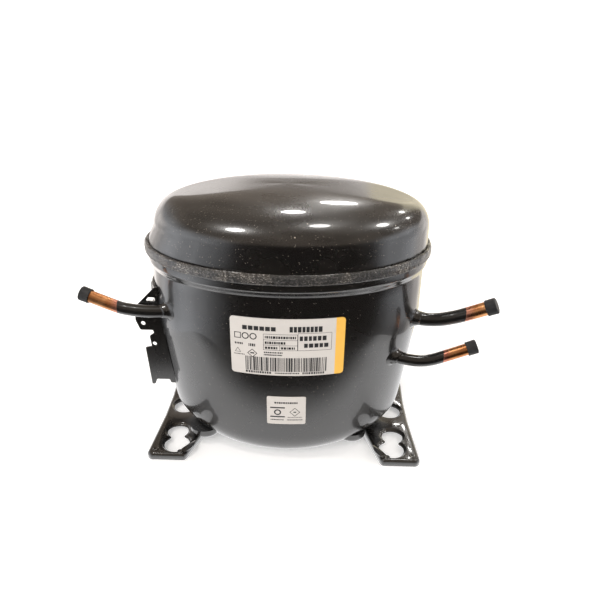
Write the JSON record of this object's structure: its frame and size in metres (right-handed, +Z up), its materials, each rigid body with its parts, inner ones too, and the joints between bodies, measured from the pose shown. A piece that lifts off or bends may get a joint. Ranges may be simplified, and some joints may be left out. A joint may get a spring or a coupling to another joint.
{
  "type": "hermetic reciprocating compressor",
  "caption": "Sealed reciprocating refrigeration compressor: oval pressed-steel shell with a welded seam, side tubes, keyhole base plates and a spring-hung motor and pump.",
  "frame": {"origin": "on the floor, in the middle of the base plates, under the crankshaft", "axes": "+Z up along the crankshaft, +X along the shell's long axis towards the suction and process tubes, -Y towards the labelled front"},
  "size_m": [0.3029, 0.1556, 0.197],
  "materials": {
    "shell_paint": "glossy black baked paint",
    "weld_bead": "rough black painted weld",
    "copper": "bare and black painted copper tube",
    "rubber": "matt black rubber",
    "label_paper": "satin printed film",
    "glass_seal": "fused glass",
    "steel": "machined and stamped steel",
    "spring_steel": "blued spring steel",
    "lamination": "stacked electrical steel",
    "winding_wire": "enamelled copper wire",
    "cast_aluminium": "die cast",
    "cast_iron": "grey iron, machined faces",
    "brass": "stamped brass",
    "gasket_fibre": "pressed fibre",
    "white_nylon": "natural moulded nylon",
    "lead_sleeve": "woven sleeve"
  },
  "bodies": {
    "shell": {"lower_shell": "shell_paint", "upper_shell": "shell_paint", "seam_weld": "weld_bead", "base_plate_left": "shell_paint", "base_plate_right": "shell_paint", "suction_tube": "copper", "process_tube": "copper", "discharge_tube": "copper", "suction_collar": "shell_paint", "process_collar": "shell_paint", "discharge_collar": "shell_paint", "terminal_cup": "steel", "terminal_glass": "glass_seal", "terminal_pin_1": "steel", "terminal_pin_2": "steel", "terminal_pin_3": "steel", "terminal_fence": "shell_paint", "rating_label": "label_paper", "notice_label": "label_paper", "lead_socket": "white_nylon", "motor_lead": "lead_sleeve", "shock_loop": "copper", "spring_1": "spring_steel", "spring_2": "spring_steel", "spring_3": "spring_steel", "spring_4": "spring_steel"},
    "pump": {"crankcase": "cast_iron", "stator_core": "lamination", "stator_winding": "winding_wire", "stator_bolt_1": "steel", "stator_bolt_2": "steel", "stator_bolt_3": "steel", "stator_bolt_4": "steel", "valve_gasket": "gasket_fibre", "valve_plate": "steel", "reed_stop": "steel", "head_gasket": "gasket_fibre", "cylinder_head": "cast_aluminium", "head_bolt_1": "steel", "head_bolt_2": "steel", "head_bolt_3": "steel", "head_bolt_4": "steel", "suction_muffler": "white_nylon", "discharge_muffler": "steel", "thrust_race_lower": "steel"},
    "crank": {"crankshaft": "cast_iron", "rotor_core": "lamination", "rotor_cage": "cast_aluminium", "balance_weight": "brass", "oil_pickup": "steel", "thrust_race_upper": "steel"},
    "rod": {"connecting_rod": "cast_iron"},
    "piston": {"piston": "steel", "wrist_pin": "steel"},
    "thrust_cage": {"thrust_ball_cage": "steel"},
    "suction_leaf": {"suction_reed": "spring_steel"},
    "discharge_leaf": {"discharge_reed": "spring_steel"},
    "suction_plug": {"suction_cap": "rubber"},
    "process_plug": {"process_cap": "rubber"},
    "discharge_plug": {"discharge_cap": "rubber"}
  },
  "joints": [
    {"name": "suspension_bounce", "type": "slide", "parent": "shell", "child": "pump", "axis": [0, 0, 1], "range_m": [-0.0025, 0.0025], "stiffness_N_per_m": 30000, "springref_m": 0.0016, "deforming": ["spring_1", "spring_2", "spring_3", "spring_4", "shock_loop", "motor_lead"]},
    {"name": "crank_spin", "type": "hinge", "parent": "pump", "child": "crank", "pos_m": [0, 0, 0.137], "axis": [0, 0, 1], "range_deg": [-45, 45]},
    {"name": "rod_swing", "type": "hinge", "parent": "crank", "child": "rod", "pos_m": [0, 0.0084, 0.137], "axis": [0, 0, 1], "range_deg": [-46, 46]},
    {"name": "piston_stroke", "type": "slide", "parent": "pump", "child": "piston", "axis": [1, 0, 0], "range_m": [-0.0063, 0.0063]},
    {"name": "cage_spin", "type": "hinge", "parent": "pump", "child": "thrust_cage", "pos_m": [0, 0, 0.1155], "axis": [0, 0, 1], "range_deg": [-23, 23]},
    {"name": "suction_reed_flex", "type": "hinge", "parent": "pump", "child": "suction_leaf", "pos_m": [0.0658, -0.0045, 0.1285], "axis": [0, -1, 0], "range_deg": [0, 4], "stiffness_Nm_per_rad": 0.02},
    {"name": "discharge_reed_flex", "type": "hinge", "parent": "pump", "child": "discharge_leaf", "pos_m": [0.0699, 0.0045, 0.1455], "axis": [0, -1, 0], "range_deg": [0, 4], "stiffness_Nm_per_rad": 0.02},
    {"name": "suction_cap_pull", "type": "slide", "parent": "shell", "child": "suction_plug", "axis": [0.8504, -0.2604, 0.4571], "range_m": [0, 0.03]},
    {"name": "process_cap_pull", "type": "slide", "parent": "shell", "child": "process_plug", "axis": [0.9275, 0, 0.3739], "range_m": [0, 0.03]},
    {"name": "discharge_cap_pull", "type": "slide", "parent": "shell", "child": "discharge_plug", "axis": [-0.9431, 0.1518, 0.2958], "range_m": [0, 0.03]}
  ],
  "couplings": [
    {"joint": "rod_swing", "follows": "crank_spin", "ratio": -1},
    {"joint": "piston_stroke", "follows": "crank_spin", "m_per_rad": -0.007812},
    {"joint": "cage_spin", "follows": "crank_spin", "ratio": 0.5}
  ]
}
